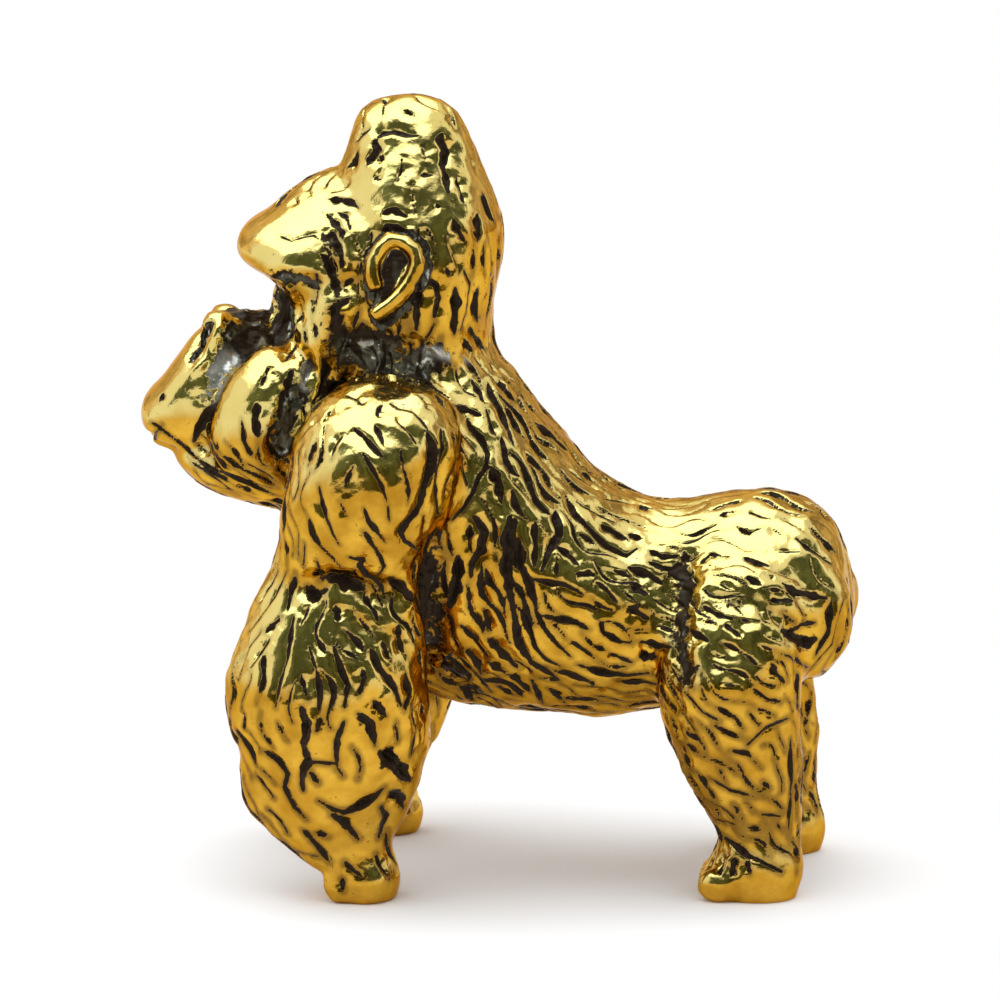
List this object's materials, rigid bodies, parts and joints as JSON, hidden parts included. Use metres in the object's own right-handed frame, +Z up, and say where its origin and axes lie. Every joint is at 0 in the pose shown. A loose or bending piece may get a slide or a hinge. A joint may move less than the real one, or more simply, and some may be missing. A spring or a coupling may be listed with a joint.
{
  "type": "gorilla figurine",
  "caption": "Small cast brass gorilla standing on all fours with carved fur and dark antique patina, a free-standing desk ornament.",
  "frame": {"origin": "middle of the figure's outline seen from above, on the floor under its knuckles and soles", "axes": "+Z up, -X the way the gorilla faces, -Y its left side"},
  "size_m": [0.0412, 0.0272, 0.0451],
  "materials": {
    "antique_brass": "polished high areas with dark brown patina in the recesses",
    "rod_brass": "plain drawn rod"
  },
  "bodies": {
    "root": {"trunk": "antique_brass", "head": "antique_brass", "left_arm": "antique_brass", "right_arm": "antique_brass", "left_leg": "antique_brass", "right_leg": "antique_brass", "left_ear": "antique_brass", "right_ear": "antique_brass", "neck_rod": "rod_brass", "left_shoulder_rod": "rod_brass", "right_shoulder_rod": "rod_brass", "left_hip_rod": "rod_brass", "right_hip_rod": "rod_brass"}
  },
  "joints": []
}
